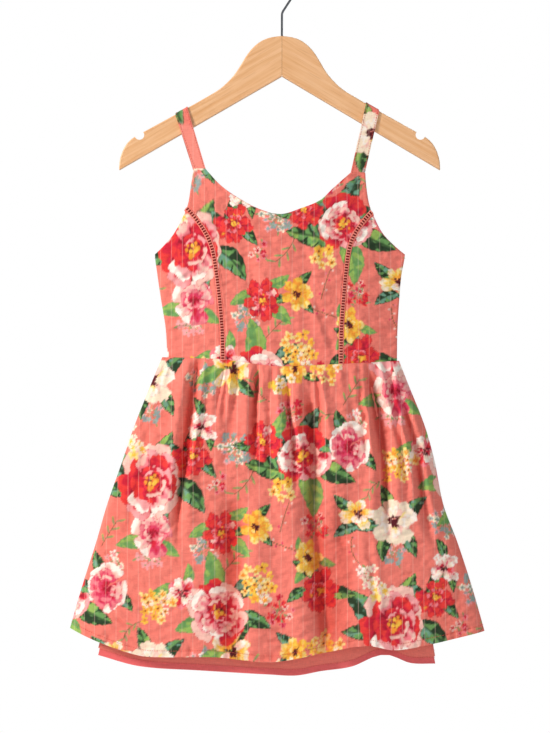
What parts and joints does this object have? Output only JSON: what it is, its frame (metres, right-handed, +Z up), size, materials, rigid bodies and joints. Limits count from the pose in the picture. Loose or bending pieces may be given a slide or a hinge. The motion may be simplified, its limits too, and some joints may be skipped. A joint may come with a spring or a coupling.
{
  "type": "sundress on a wooden clothes hanger",
  "caption": "Child's coral floral sundress with ladder-trimmed bodice, gathered skirt and plain lining, on a wooden hanger.",
  "frame": {"origin": "inside top of the hanger's hook, where a rail or peg holds it", "axes": "+Z up, +X to the right as seen from the dress's front, the front faces -Y"},
  "size_m": [0.4656, 0.0487, 0.7929],
  "materials": {
    "printed_cotton": "matt crinkled cotton with woven pale stripes and a floral print",
    "plain_cotton": "matt plain-dyed lining cotton",
    "ladder_trim": "matt stitched faggoting",
    "wood": "clear satin varnish on pale maple",
    "steel_wire": "dark plated wire"
  },
  "bodies": {
    "root": {"bodice_front_centre": "printed_cotton", "bodice_front_side_left": "printed_cotton", "bodice_front_side_right": "printed_cotton", "ladder_trim_left": "ladder_trim", "ladder_trim_right": "ladder_trim", "bodice_back": "printed_cotton", "strap_left": "printed_cotton", "strap_right": "printed_cotton", "skirt_front": "printed_cotton", "skirt_back": "printed_cotton", "lining_front": "plain_cotton", "lining_back": "plain_cotton", "hanger_arm_left": "wood", "hanger_arm_right": "wood", "hanger_hook": "steel_wire"}
  },
  "joints": []
}
